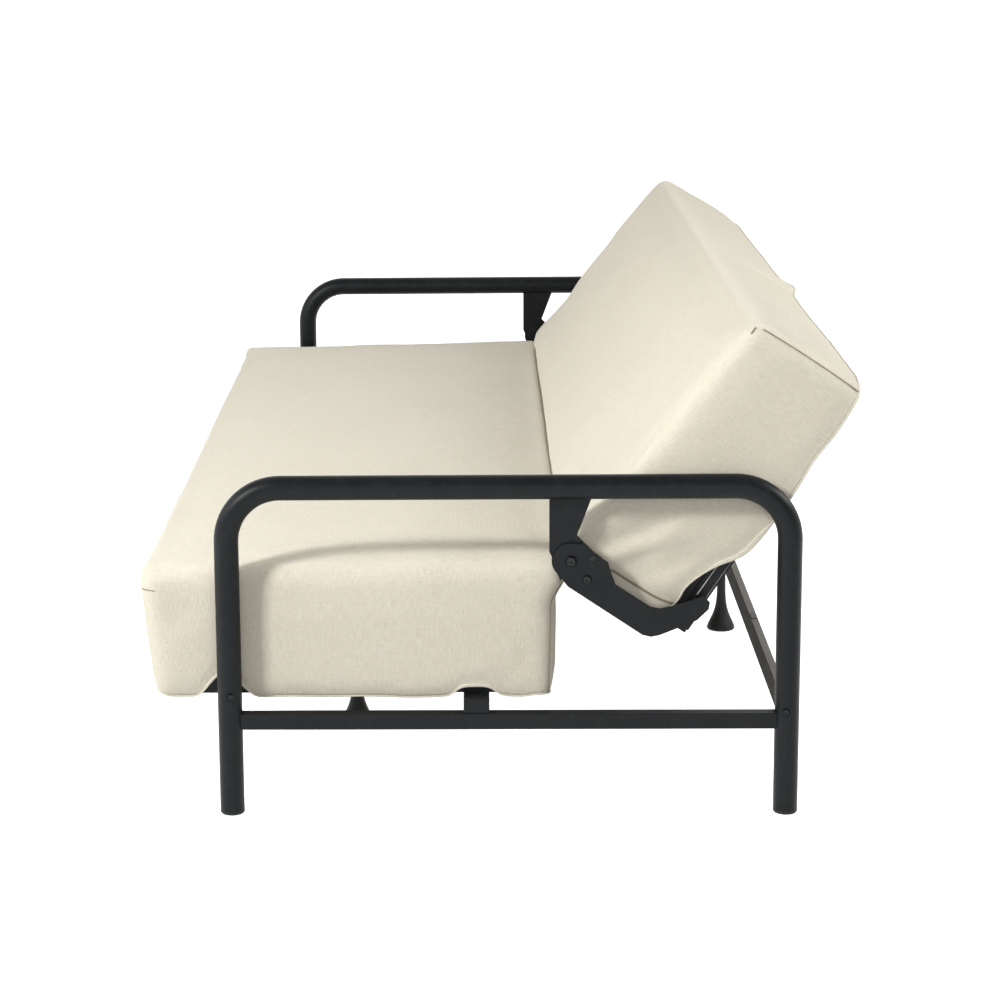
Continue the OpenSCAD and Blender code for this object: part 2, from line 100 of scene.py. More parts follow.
class Graph:
    """A short way to write a node material: node() makes a node and sets or links its inputs."""

    def __init__(self, name):
        self.material = bpy.data.materials.new(name)
        self.material.use_nodes = True
        self.tree = self.material.node_tree
        self.shader = self.tree.nodes["Principled BSDF"]

    def node(self, kind, out=0, props=(), **inputs):
        n = self.tree.nodes.new("ShaderNode" + kind)
        for key, value in dict(props).items():
            setattr(n, key, value)
        for key, value in inputs.items():
            self.put(n.inputs[int(key[1:]) if key[0] == "i" and key[1:].isdigit() else key], value)
        return n.outputs[out]

    def put(self, socket, value):
        if isinstance(value, bpy.types.NodeSocket):
            self.tree.links.new(value, socket)
        else:
            socket.default_value = value

    def set(self, **inputs):
        for key, value in inputs.items():
            self.put(self.shader.inputs[key.replace("_", " ")], value)

    def scaled(self, vector, scale):
        return self.node("Mapping", i0=vector, i3=scale)

    def noise(self, vector, scale, detail=2.0, rough=0.5):
        return self.node("TexNoise", Vector=vector, Scale=scale, Detail=detail, Roughness=rough)

    def ramp(self, fac, low, high, a=0.0, b=1.0):
        return self.node("MapRange", i0=fac, i1=low, i2=high, i3=a, i4=b)

    def math(self, op, a, b=0.0):
        return self.node("Math", props={"operation": op}, i0=a, i1=b)

    def mix(self, fac, a, b, blend="MIX"):
        return self.node("Mix", out=2, props={"data_type": "RGBA", "blend_type": blend},
                         i0=fac, i6=a, i7=b)

    def bump(self, height, strength, distance, normal=None):
        extra = {"Normal": normal} if normal is not None else {}
        return self.node("Bump", Strength=strength, Distance=distance, Height=height, **extra)

    def place(self):
        """Position on the part in metres, which doesn't change when a body moves."""
        return self.node("TexCoord", out=3)

    def bevel(self, radius):
        return self.node("Bevel", props={"samples": 4}, Radius=radius)


def linen(name, tint=(0.70, 0.655, 0.545)):
    """Natural linen-look weave: thick and thin yarns both ways, short slubs, faint unevenness."""
    g = Graph(name)
    uv = g.node("UVMap", props={"uv_map": "weave"})
    wobble = g.node("TexNoise", out=1, Vector=uv, Scale=11.0, Detail=1.0)
    bent = g.node("VectorMath", props={"operation": "MULTIPLY_ADD"}, i0=wobble,
                  i1=(0.003, 0.003, 0.0), i2=uv)
    warp_slub = g.noise(g.scaled(bent, (430.0, 60.0, 1.0)), 1.0, 3.0, 0.6)
    weft_slub = g.noise(g.scaled(bent, (55.0, 460.0, 1.0)), 1.0, 3.0, 0.6)
    grain = g.noise(bent, 620.0, 2.0, 0.6)
    warp = g.node("TexWave", out=1, props={"bands_direction": "X"}, Vector=bent, Scale=150.0,
                  Distortion=1.2, **{"Detail Scale": 1.2})
    weft = g.node("TexWave", out=1, props={"bands_direction": "Y"}, Vector=bent, Scale=150.0,
                  Distortion=1.2, **{"Detail Scale": 1.2})
    weave = g.math("ADD", g.math("MULTIPLY", warp, weft), g.math("MULTIPLY", grain, 0.7))
    broad = g.noise(uv, 4.0, 2.0)
    flecks = g.ramp(g.noise(g.scaled(bent, (420.0, 120.0, 1.0)), 1.0, 2.0), 0.64, 0.80)
    dark = tuple(c * k for c, k in zip(tint, (0.875, 0.865, 0.84))) + (1.0,)
    light = tuple(min(1.0, c * k) for c, k in zip(tint, (1.05, 1.055, 1.07))) + (1.0,)
    slubs = g.math("ADD", g.math("MULTIPLY", warp_slub, 0.42), g.math("MULTIPLY", weft_slub, 0.28))
    slubs = g.math("ADD", slubs, g.math("MULTIPLY", grain, 0.30))
    colour = g.mix(g.ramp(slubs, 0.38, 0.62), dark, light)
    colour = g.mix(g.math("MULTIPLY", flecks, 0.07), colour, (0.36, 0.31, 0.23, 1.0))
    colour = g.mix(g.ramp(broad, 0.3, 0.7, 0.0, 0.08), colour, tuple(tint) + (1.0,), "MULTIPLY")
    normal = g.bump(g.math("ADD", weave, g.math("MULTIPLY", slubs, 1.2)), 0.6, 0.0008)
    g.set(Base_Color=colour, Roughness=0.92, Sheen_Weight=0.12, Sheen_Roughness=0.5,
          Specular_IOR_Level=0.15, Normal=normal)
    return g.material


def powder_coat(name, base=(0.0048, 0.0060, 0.0068), rough=0.40, bevel=0.0012, upward_pale=0.0):
    """Dark satin powder coat: fine orange peel, faint cloudiness, faint pale flecks and rounded
    edges.
    """
    g = Graph(name)
    at = g.place()
    peel = g.noise(at, 620.0, 2.0, 0.5)
    cloud = g.noise(at, 14.0, 3.0, 0.6)
    dust = g.ramp(g.noise(at, 60.0, 4.0, 0.7), 0.50, 0.80)
    lighter = tuple(c * 1.5 + 0.002 for c in base) + (1.0,)
    colour = g.mix(g.ramp(cloud, 0.35, 0.7, 0.0, 0.6), tuple(base) + (1.0,), lighter)
    colour = g.mix(g.math("MULTIPLY", dust, 0.03), colour, (0.20, 0.20, 0.20, 1.0))
    roughness = g.math("ADD", g.ramp(cloud, 0.3, 0.7, rough - 0.04, rough + 0.05),
                       g.math("MULTIPLY", dust, 0.06))
    # Faces that point up are made paler grey and less rough, by their direction alone.
    if upward_pale:
        up = g.node("SeparateXYZ", out=2, i0=g.node("NewGeometry", out=1))
        faces_up = g.math("MULTIPLY", g.ramp(up, 0.5, 0.95), g.ramp(cloud, 0.2, 0.6, 0.8, 1.0))
        colour = g.mix(g.math("MULTIPLY", faces_up, upward_pale), colour, (0.50, 0.49, 0.46, 1.0))
        roughness = g.math("SUBTRACT", roughness, g.math("MULTIPLY", faces_up, 0.30))
    g.set(Base_Color=colour, Roughness=roughness, Specular_IOR_Level=0.15, Metallic=0.0,
          Normal=g.bump(peel, 0.10, 0.0006, g.bevel(bevel)))
    return g.material


def black_oxide(name):
    g = Graph(name)
    at = g.place()
    grain = g.noise(at, 900.0, 3.0, 0.6)
    wear = g.ramp(g.noise(at, 240.0, 3.0), 0.55, 0.75)
    colour = g.mix(g.math("MULTIPLY", wear, 0.35),
                   (0.008, 0.009, 0.010, 1), (0.030, 0.032, 0.034, 1))
    g.set(Base_Color=colour, Metallic=0.55, Roughness=g.ramp(grain, 0.3, 0.7, 0.26, 0.42),
          Normal=g.bump(grain, 0.06, 0.0003, g.bevel(0.0007)))
    return g.material


def zinc(name):
    g = Graph(name)
    at = g.place()
    flow = g.noise(at, 180.0, 4.0, 0.6)
    colour = g.mix(g.ramp(flow, 0.35, 0.65), (0.42, 0.43, 0.44, 1), (0.60, 0.61, 0.60, 1))
    g.set(Base_Color=colour, Metallic=0.95, Roughness=g.ramp(flow, 0.3, 0.7, 0.28, 0.45),
          Normal=g.bump(flow, 0.05, 0.0003, g.bevel(0.0006)))
    return g.material


def moulded(name, base=(0.010, 0.011, 0.011), rough=0.50):
    """Injection-moulded plastic with a fine spark-eroded grain."""
    g = Graph(name)
    at = g.place()
    grain = g.node("TexVoronoi", Vector=at, Scale=1500.0)
    cloud = g.noise(at, 25.0, 3.0)
    lighter = tuple(c * 1.6 + 0.004 for c in base) + (1.0,)
    g.set(Base_Color=g.mix(g.ramp(cloud, 0.35, 0.7, 0.0, 0.5), tuple(base) + (1.0,), lighter),
          Roughness=g.ramp(cloud, 0.3, 0.7, rough - 0.05, rough + 0.08),
          Specular_IOR_Level=0.22, Normal=g.bump(grain, 0.12, 0.0003, g.bevel(0.0008)))
    return g.material


def rubber(name):
    g = Graph(name)
    at = g.place()
    fine = g.noise(at, 700.0, 3.0)
    g.set(Base_Color=g.mix(fine, (0.10, 0.10, 0.10, 1), (0.15, 0.15, 0.15, 1)),
          Roughness=g.ramp(fine, 0.3, 0.7, 0.78, 0.92), Normal=g.bump(fine, 0.2, 0.0004))
    return g.material


def birch(name):
    """Laminated birch slat: grain along its length, with darker pores."""
    g = Graph(name)
    at = g.place()
    grain = g.noise(g.scaled(at, (60.0, 5.0, 5.0)), 6.0, 5.0, 0.65)
    pores = g.ramp(g.noise(g.scaled(at, (500.0, 22.0, 22.0)), 2.0, 2.0), 0.55, 0.75)
    colour = g.mix(g.ramp(grain, 0.3, 0.7), (0.60, 0.44, 0.26, 1), (0.74, 0.58, 0.38, 1))
    colour = g.mix(g.math("MULTIPLY", pores, 0.35), colour, (0.42, 0.28, 0.15, 1))
    g.set(Base_Color=colour, Roughness=g.ramp(grain, 0.3, 0.7, 0.48, 0.62),
          Normal=g.bump(grain, 0.12, 0.0005, g.bevel(0.001)))
    return g.material


def nonwoven(name, dark=(0.40, 0.38, 0.34), light=(0.52, 0.50, 0.45)):
    """Thin spun cloth, such as the lining under the foam."""
    g = Graph(name)
    at = g.place()
    cells = g.node("TexVoronoi", Vector=at, Scale=420.0)
    fibres = g.noise(at, 320.0, 4.0, 0.7)
    g.set(Base_Color=g.mix(g.ramp(fibres, 0.3, 0.7), dark + (1.0,), light + (1.0,)),
          Roughness=0.9, Sheen_Weight=0.1,
          Normal=g.bump(g.math("ADD", cells, fibres), 0.35, 0.0006))
    return g.material


LINEN = linen("linen_cover")
LINEN_BAND = linen("linen_band", tint=(0.74, 0.70, 0.59))
# Dark seam thread: its darkness is painted shade for the groove along each seam and dart.
THREAD_AND_SHADE = linen("seam_thread_and_shade", tint=(0.30, 0.255, 0.185))
# Near-black sheet colour: painted shade for the shadowed space inside the covers.
SHADE_SHEET = nonwoven("painted_shade_sheet", (0.012, 0.012, 0.013), (0.022, 0.022, 0.023))
STEEL = powder_coat("black_steel")
STRETCHER = powder_coat("stretcher_steel", base=(0.009, 0.0075, 0.006), rough=0.80, upward_pale=0.28)
FASTENER = black_oxide("black_fastener")
ZINC = zinc("zinc_steel")
PLASTIC = moulded("black_plastic")
RUBBER = rubber("rubber")
BIRCH = birch("birch")
LINING = nonwoven("lining")


def material_for(node):
    if node == "rear_stretcher":
        return STRETCHER
    if node.startswith(("foot_cap", "seat_foot")) or node.endswith(("_foot", "slat_holders")):
        return PLASTIC
    if node == "stretcher_pads":
        return RUBBER
    if node.endswith("slats"):
        return BIRCH
    if node in ("seat_bolts", "stretcher_bolts", "pivot_bolts", "pivot_nuts",
                "lever_rivets", "stop_pins"):
        return FASTENER
    if node in ("hinge_bushes", "seat_bolt_nuts", "stretcher_inserts", "stop_sleeves",
                "support_post_screws"):
        return ZINC
    if "cushion" in node or "skirt" in node:
        return LINEN
    return STEEL


for node_name, node_object in frame["nodes"].items():
    node_object.data.materials.clear()
    node_object.data.materials.append(material_for(node_name))


# ---- Mesh helpers ---------------------------------------------------------------------------

def new_object(name, verts, faces, material, body, corner_uv=None, smooth=True):
    mesh = bpy.data.meshes.new(name)
    mesh.from_pydata([tuple(v) for v in verts], [], [tuple(f) for f in faces])
    if corner_uv is not None:
        layer = mesh.uv_layers.new(name="weave")
        layer.data.foreach_set("uv", np.asarray(corner_uv, np.float32).ravel())
    mesh.update()
    if smooth:
        mesh.polygons.foreach_set("use_smooth", np.ones(len(mesh.polygons), bool))
    mesh.materials.append(material)
    obj = bpy.data.objects.new(name, mesh)
    scene.collection.objects.link(obj)
    obj["body"] = body
    return obj


def apply_modifiers(obj):
    depsgraph = bpy.context.evaluated_depsgraph_get()
    mesh = bpy.data.meshes.new_from_object(obj.evaluated_get(depsgraph))
    mesh.name = obj.data.name
    obj.modifiers.clear()
    obj.data = mesh
    mesh.polygons.foreach_set("use_smooth", np.ones(len(mesh.polygons), bool))


def smoothstep(x, low, high):
    t = np.clip((x - low) / (high - low), 0.0, 1.0)
    return t * t * (3 - 2 * t)


def ripple(points, scale, seed):
    """Smooth noise from -1 to 1 at each point, the same on every run."""
    shift = Vector((seed * 7.31, seed * 3.17, seed * 1.73))
    return np.array([noise.noise(Vector(p) * scale + shift) for p in points])


class Cover:
    """Grid of a fitted cover: a top and four walls that are open below. Corners are rounded by
    moving the grid of a square box, so that rows and columns of cloth stay in line."""

    def __init__(self, half_x, half_y, drop, cell, edge_r, corner_r):
        nx, ny = round(2 * half_x / cell), round(2 * half_y / cell)
        rows = round(drop / cell)
        gx, gy = np.linspace(-half_x, half_x, nx + 1), np.linspace(-half_y, half_y, ny + 1)
        top = [(x, y, 0.0) for y in gy for x in gx]
        loop = ([(i, 0) for i in range(nx)] + [(nx, j) for j in range(ny)]
                + [(i, ny) for i in range(nx, 0, -1)] + [(0, j) for j in range(ny, 0, -1)])
        walls = [(gx[i], gy[j], drop * r / rows) for r in range(1, rows + 1) for i, j in loop]
        self.square = np.array(top + walls)
        self.nx, self.ny, self.rows, self.loop = nx, ny, rows, loop
        self.half_x, self.half_y, self.drop = half_x, half_y, drop
        self.edge_r, self.corner_r = edge_r, corner_r
        self.n_top = len(top)
        self.round_off()
        self.make_faces(gx, gy)

    def ring(self, row):
        """Vertex numbers of one row of the walls; row 0 is the edge of the top."""
        if row == 0:
            return [j * (self.nx + 1) + i for i, j in self.loop]
        first = self.n_top + (row - 1) * len(self.loop)
        return list(range(first, first + len(self.loop)))

    def round_off(self):
        x, y, h = self.square.T
        r, rc = self.edge_r, self.corner_r
        near = np.minimum(self.half_x - abs(x), self.half_y - abs(y))
        quarter = math.pi / 4
        angle = np.where(h == 0, np.clip((r - near) / r, 0, 1) * quarter,
                         quarter + np.clip(h / r, 0, 1) * quarter)
        inset = np.where((h == 0) & (near >= r), near, r * (1 - np.sin(angle)))
        self.fall = np.where((h == 0) | (h < r), r * (1 - np.cos(angle)), h)
        qx, qy = self.half_x - rc, self.half_y - rc
        vx, vy = abs(x) - qx, abs(y) - qy
        corner = (vx > 0) & (vy > 0)
        length = np.where(corner, np.hypot(vx, vy), 1.0)
        edge = near < r
        x_side = (self.half_x - abs(x)) <= (self.half_y - abs(y))
        new_x = np.where(corner, qx + vx / length * (rc - inset),
                         np.where(edge & x_side, self.half_x - inset, abs(x)))
        new_y = np.where(corner, qy + vy / length * (rc - inset),
                         np.where(edge & ~x_side, self.half_y - inset, abs(y)))
        self.x, self.y, self.h = np.sign(x) * new_x, np.sign(y) * new_y, h
        out = np.zeros((len(x), 2))
        out[:, 0] = np.where(corner, vx / length, x_side * 1.0) * np.sign(x)
        out[:, 1] = np.where(corner, vy / length, (~x_side) * 1.0) * np.sign(y)
        self.outward = out

    def make_faces(self, gx, gy):
        nx, ny = self.nx, self.ny
        self.faces, uv = [], []
        for j in range(ny):
            for i in range(nx):
                a = j * (nx + 1) + i
                self.faces.append((a, a + 1, a + nx + 2, a + nx + 1))
                uv += [(gx[i], gy[j]), (gx[i + 1], gy[j]),
                       (gx[i + 1], gy[j + 1]), (gx[i], gy[j + 1])]
        count = len(self.loop)
        flat = np.array([(gx[i], gy[j]) for i, j in self.loop] + [(gx[0], gy[0])])
        along = np.concatenate([[0], np.cumsum(np.hypot(*np.diff(flat, axis=0).T))])
        for r in range(self.rows):
            upper, lower = self.ring(r), self.ring(r + 1)
            h0, h1 = self.drop * r / self.rows, self.drop * (r + 1) / self.rows
            for k in range(count):
                n = (k + 1) % count
                self.faces.append((upper[n], upper[k], lower[k], lower[n]))
                s0, s1 = along[k], along[k + 1]
                uv += [(s1, -h0), (s0, -h0), (s0, -h1), (s1, -h1)]
        self.uv = np.array(uv)


# ---- Seat cover -----------------------------------------------------------------------------

def arch(y, middle, width, height, slope):
    """A cut-out with straight sloping sides, a rounded top and short curves at its ends."""
    soft = 0.07 * height
    side = slope * (width / 2 - abs(y - middle))
    rise = soft * np.logaddexp(0, side / soft)
    return height - soft * np.logaddexp(0, (height - rise) / soft)


CELL = 0.0112                # grid of both covers
CROWN = 0.004                # how far the middle of a cushion rises
WRINKLE = 0.0022
SEAT_FRONT, SEAT_REAR = SEAT_LO.y - 0.0065, SEAT_HI.y + 0.0262
SEAT_MID = (SEAT_FRONT + SEAT_REAR) / 2
SEAT_HEM = HEM_LO.z + 0.001
SEAT_RISE = 0.0115           # from the front edge to the rear edge
SEAT_TOP_FRONT = SEAT_HI.z - SEAT_RISE
SEAT_WALL_TOP = SEAT_TOP_FRONT - 0.031
FRONT_LEAN = 0.1235          # the front wall goes back by this much per metre of depth
seat = Cover((SEAT_HI.x - SEAT_LO.x) / 2 + 0.0015, (SEAT_REAR - SEAT_FRONT) / 2,
             SEAT_HI.z - SEAT_HEM, CELL, 0.023, 0.022)


def seat_top(y):
    """Height of the seat's surface, a little higher towards the hinge."""
    t = np.clip((y - SEAT_FRONT - 0.028) / (SEAT_HI.y - SEAT_FRONT - 0.088), 0, 1)
    return SEAT_TOP_FRONT + SEAT_RISE * (1.45 * t - 0.45 * t * t)


def seat_hem(x, y):
    """Height of the hem round the seat: arched at the bolt spacer and at the support post."""
    end = smoothstep(abs(x), SEAT_HI.x - 0.03, SEAT_HI.x - 0.008)
    wave = 0.0008 * np.sin(23 * y + 1.1) + 0.0006 * np.sin(9 * x + 41 * y)
    front_corner = 0.008 * smoothstep(-y, 0.507, 0.531) ** 2 * smoothstep(abs(x), 0.955, 0.995)
    rear_corner = 0.003 * smoothstep(y, 0.062, 0.086) ** 2 * smoothstep(abs(x), 0.965, 0.995)
    at_leg = arch(y, LEG_Y - 0.0015, 0.092, 0.041, 1.06)
    at_post = arch(y, POST_Y + 0.021, 0.082, 0.0155, 0.9)
    return SEAT_HEM + wave + front_corner + rear_corner + end * (at_leg + at_post)


def seat_shape(c):
    """Points of the seat cover: the front wall leans back, and the rear wall tucks in low down."""
    y = SEAT_MID + c.y
    top = seat_top(y) + CROWN * (1 - (c.x / c.half_x) ** 4) * (1 - (c.y / c.half_y) ** 4)
    side = c.y / c.half_y
    wall = np.clip((c.h - c.edge_r) / (c.drop - c.edge_r), 0, 1)
    lean = FRONT_LEAN * (1 - side) / 2
    low = seat_hem(c.x, y + lean * (SEAT_WALL_TOP - SEAT_HEM))
    z = np.where(c.h > c.edge_r, (top - c.edge_r) * (1 - wall) + low * wall, top - c.fall)
    lean_front = lean * np.clip(SEAT_WALL_TOP - z, 0, 1)
    tuck_rear = -(SEAT_REAR - HEM_HI.y + 0.001) * smoothstep(-z, -0.378, -0.325) * (1 + side) / 2
    y = y + lean_front + tuck_rear
    belly = np.sin(math.pi * wall) * 0.003
    curl = 0.0035 * smoothstep(-(z - SEAT_HEM), -0.010, 0.002) * (c.h > c.edge_r)
    x = c.x + np.sign(c.x) * belly * abs(c.outward[:, 0]) * (1 - side ** 2)
    x = x - curl * c.outward[:, 0]
    y = y + (belly * 0.8 - curl) * c.outward[:, 1]
    full = np.exp(-((c.fall - 0.3 * c.edge_r) / (0.45 * c.edge_r)) ** 2)
    front_full = full * smoothstep(-side, 0.93, 0.985)
    rear_full = full * smoothstep(side, 0.93, 0.985)
    y, z = y + 0.004 * rear_full - 0.0055 * front_full, z + 0.005 * rear_full + 0.006 * front_full
    return np.stack([x, y, z], axis=-1)


# ---- Back cover -----------------------------------------------------------------------------

BACK_REACH, BACK_START, BACK_FOAM_LOW = 0.464, -0.010, -0.1775
BACK_MID = (BACK_REACH + BACK_START) / 2
back = Cover(seat.half_x, (BACK_REACH - BACK_START) / 2, 0.206, CELL, 0.0165, 0.024)

# The lower wall: how far up the back it stands at each depth, and how much it sags below that.
LOWER_DEPTH = [0.000, 0.012, 0.045, 0.075, 0.0925, 0.117, 0.1436, 0.1713, 0.180]
LOWER_REACH = [-0.010, -0.009, 0.002, 0.0119, 0.0139, 0.0188, 0.0211, 0.0243, 0.027]
SAG_DEPTH = [0.066, 0.0686, 0.0844, 0.1006, 0.1107, 0.1289,
             0.1433, 0.1540, 0.1635, 0.1724, 0.1850]
SAG = [0.002, 0.0050, 0.0150, 0.0225, 0.0258, 0.0278,
       0.0280, 0.0272, 0.0235, 0.0170, 0.0080]


def back_top(u):
    """Front of the back: slightly crowned, with a full lip over the crease."""
    full = 0.0045 * smoothstep(u, 0.06, 0.2) * (1 - smoothstep(u, 0.34, 0.46))
    return -0.040 * u - 0.063 * u * u + 0.0085 * (1 - smoothstep(u, 0.0, 0.13)) + full


def back_hem(u):
    """Depth of the hem along each end: cut back over the lever, and eased over the stretcher."""
    stops = np.array([
        (-0.020, -0.1731), (0.0216, -0.1731), (0.0307, -0.1781), (0.0364, -0.1779),
        (0.0447, -0.1760), (0.0530, -0.1742), (0.0682, -0.1766), (0.0859, -0.1830),
        (0.1023, -0.1903), (0.1174, -0.1986), (0.1275, -0.2065), (0.1386, -0.2150),
        (0.1568, -0.2230), (0.1775, -0.2258), (0.1995, -0.2275), (0.2500, -0.2285),
        (0.2900, -0.2275), (0.3200, -0.2245), (0.3340, -0.2238), (0.3480, -0.2245),
        (0.3800, -0.2272), (0.4100, -0.2270), (0.4520, -0.2235), (0.4640, -0.2170)])
    fine = np.linspace(stops[0, 0], stops[-1, 0], 400)
    curve = np.interp(fine, stops[:, 0], stops[:, 1])
    kernel = np.hanning(9)
    ends = np.concatenate([np.full(4, curve[0]), curve, np.full(4, curve[-1])])
    return np.interp(u, fine, np.convolve(ends, kernel / kernel.sum(), "valid"))


def end_hollow(u, w):
    """How far an end face is drawn in: one fold runs back from the lever, and the hem flares."""
    from_lever_u, from_lever_w = u - 0.020, w + 0.045
    along = from_lever_u * 0.82 - from_lever_w * 0.57
    across = from_lever_u * 0.57 + from_lever_w * 0.82
    reach = smoothstep(along, -0.02, 0.02) * (1 - smoothstep(along, 0.11, 0.23))
    ridge = np.exp(-(across / 0.013) ** 2)
    flare = smoothstep(-across, 0.040, 0.072)
    below_top = 1 - smoothstep(across, 0.018, 0.065)
    return 0.0085 * reach * below_top * np.clip(1 - ridge - flare, 0, 1)


def back_shape(c):
    """Points of the back cover as x, u and w: belly below, lip at the crease, slack hem above."""
    u = BACK_MID + c.y
    side = c.y / c.half_y
    lower, upper = ((1 - side) / 2) ** 2, ((1 + side) / 2) ** 2
    on_lower = np.clip(-c.outward[:, 1], 0, 1) * (c.h > 0)
    on_upper = np.clip(c.outward[:, 1], 0, 1) * (c.h > 0)
    inboard = c.half_x - abs(c.x)
    crown = CROWN * (1 - (c.x / c.half_x) ** 4) * (1 - side ** 4)
    top = back_top(u) + crown
    wall = np.clip((c.h - c.edge_r) / (c.drop - c.edge_r), 0, 1)
    fold = np.exp(-((c.x - 0.05) / 0.10) ** 2) * (1 - smoothstep(c.x, 0.065, 0.125))
    slack = smoothstep(inboard, 0.01, 0.10)
    low = back_hem(u + 0.0345 * lower - 0.0026 * upper)
    low = low - on_upper * (0.003 * slack + 0.003 * fold)
    w = np.where(c.h > c.edge_r, (top - c.edge_r) * (1 - wall) + low * wall, top - c.fall)
    depth = np.clip(-w, 0, 1)
    u = u + (np.interp(depth, LOWER_DEPTH, LOWER_REACH) - BACK_START) * lower * (c.h > 0)
    u = u - 0.0134 * depth * upper
    u = u - on_lower * np.interp(depth, SAG_DEPTH, SAG) * smoothstep(inboard, 0.001, 0.014)
    lip = slack * lower ** 8 * (1 - smoothstep(depth, 0.0, 0.035))
    u = u - 0.0060 * lip
    w = w + 0.0055 * lip
    u = u + on_upper * wall * (0.0035 + 0.0030 * slack + 0.011 * fold)
    belly = np.sin(math.pi * wall) * 0.0025
    x = c.x + np.sign(c.x) * belly * abs(c.outward[:, 0]) * (1 - side ** 2)
    x = x - np.sign(c.x) * abs(c.outward[:, 0]) * end_hollow(u, w) * (c.h > 0)
    u = u + belly * on_upper
    return x, u, w


CLOTH_FRAMES, CLOTH_PRESSURE, CLOTH_CAP, CLOTH_SMOOTHING = 20, 2.5, 0.006, 4
COVER_THICKNESS, COVER_FILL = 0.0014, 0.8


def wrinkles(points, normals, amount, seed):
    """Shallow, long folds of loose cloth over foam."""
    stretched = points * np.array([0.35, 1.0, 1.0])
    height = amount * (0.6 * ripple(stretched, 9.0, seed) + 0.4 * ripple(points, 21.0, seed + 5))
    return points + normals * height[:, None]


def vertex_normals(points, faces):
    quads = points[np.array(faces)]
    face = np.cross(quads[:, 2] - quads[:, 0], quads[:, 3] - quads[:, 1])
    out = np.zeros_like(points)
    for k in range(4):
        np.add.at(out, np.array(faces)[:, k], face)
    return out / np.maximum(np.linalg.norm(out, axis=1, keepdims=True), 1e-12)


def relax_cloth(obj, cover, room):
    """Lets the cover swell and pucker as cloth over foam, then keeps the result as a plain mesh.

    The hem is pinned, no point moves into the foam or beyond CLOTH_CAP, and room() keeps the
    points clear of the parts beside the cushion."""
    before = points_of(obj)
    pinned = cover.ring(cover.rows) + cover.ring(cover.rows - 1)
    group = obj.vertex_groups.new(name="pin")
    group.add([int(i) for i in pinned], 1.0, "REPLACE")
    cloth = obj.modifiers.new("cloth", "CLOTH")
    s = cloth.settings
    s.quality = 6
    s.mass = 0.35
    s.tension_stiffness = s.compression_stiffness = 18
    s.shear_stiffness = 6
    s.bending_stiffness = 0.4
    s.use_pressure = True
    s.uniform_pressure_force = CLOTH_PRESSURE
    s.vertex_group_mass = "pin"
    s.shrink_min = -0.005
    s.effector_weights.gravity = 0
    cloth.point_cache.frame_start, cloth.point_cache.frame_end = 1, CLOTH_FRAMES
    for f in range(1, CLOTH_FRAMES + 1):
        scene.frame_set(f)
    evaluated = obj.evaluated_get(bpy.context.evaluated_depsgraph_get())
    after = np.array([v.co for v in evaluated.data.vertices])
    obj.modifiers.remove(cloth)
    obj.vertex_groups.clear()
    scene.frame_set(1)
    move = after - before
    outward = vertex_normals(before, cover.faces)
    into_foam = np.minimum(0.0, np.sum(move * outward, axis=1, keepdims=True))
    move = move - 0.9 * into_foam * outward
    ends = np.array([e.vertices[:] for e in obj.data.edges])
    count = np.bincount(ends.ravel(), minlength=len(move))[:, None]
    for _ in range(CLOTH_SMOOTHING):
        total = np.zeros_like(move)
        np.add.at(total, ends[:, 0], move[ends[:, 1]])
        np.add.at(total, ends[:, 1], move[ends[:, 0]])
        move = 0.4 * move + 0.6 * total / count
    move[pinned] = 0
    size = np.linalg.norm(move, axis=1, keepdims=True)
    move = move * CLOTH_CAP * np.tanh(size / CLOTH_CAP) / np.maximum(size, 1e-9)
    done = room(before + move)
    obj.data.vertices.foreach_set("co", done.ravel())
    obj.data.update()


def points_of(obj):
    return np.array([v.co for v in obj.data.vertices])


def finish_cover(obj, replaced, body):
    sub = obj.modifiers.new("smooth", "SUBSURF")
    sub.levels = sub.render_levels = 1
    wall = obj.modifiers.new("cloth", "SOLIDIFY")
    wall.thickness = COVER_THICKNESS
    wall.offset = -1
    apply_modifiers(obj)
    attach(obj, body)
    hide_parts(*replaced)


def strip(name, path, out, up, width, thick, material, body, closed):
    """A sewn band, or a thin strip of painted highlight: a flat rounded section carried along a
    path, of one width or one per point.
    """
    path, out, up = (np.asarray(a, float) for a in (path, out, up))
    section = np.array([(-0.5, -0.30), (-0.5, 0.30), (-0.42, 0.5), (0.42, 0.5), (0.5, 0.30),
                        (0.5, -0.30), (0.42, -0.5), (-0.42, -0.5)])
    n, m = len(path), len(section)
    width = np.broadcast_to(width, n)
    verts = (path[:, None, :] + up[:, None, :] * (section[:, 0] * width[:, None])[:, :, None]
             + out[:, None, :] * (section[:, 1] * thick)[None, :, None]).reshape(-1, 3)
    faces, uv = [], []
    step = np.linalg.norm(np.diff(path, axis=0, append=path[:1]), axis=1)
    along = np.concatenate([[0], np.cumsum(step)])
    for i in range(n if closed else n - 1):
        j = (i + 1) % n
        for k in range(m):
            q = (k + 1) % m
            faces.append((i * m + k, j * m + k, j * m + q, i * m + q))
            uv += [(along[i], k * 0.003), (along[i + 1], k * 0.003),
                   (along[i + 1], (k + 1) * 0.003), (along[i], (k + 1) * 0.003)]
    if not closed:
        faces += [tuple(range(m)), tuple(reversed(range((n - 1) * m, n * m)))]
        uv += [(0, k * 0.003) for k in range(m)] * 2
    obj = new_object(name, verts, faces, material, body, uv)
    smooth = obj.modifiers.new("smooth", "SUBSURF")
    smooth.levels = smooth.render_levels = 1
    apply_modifiers(obj)
    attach(obj, body)
    return obj


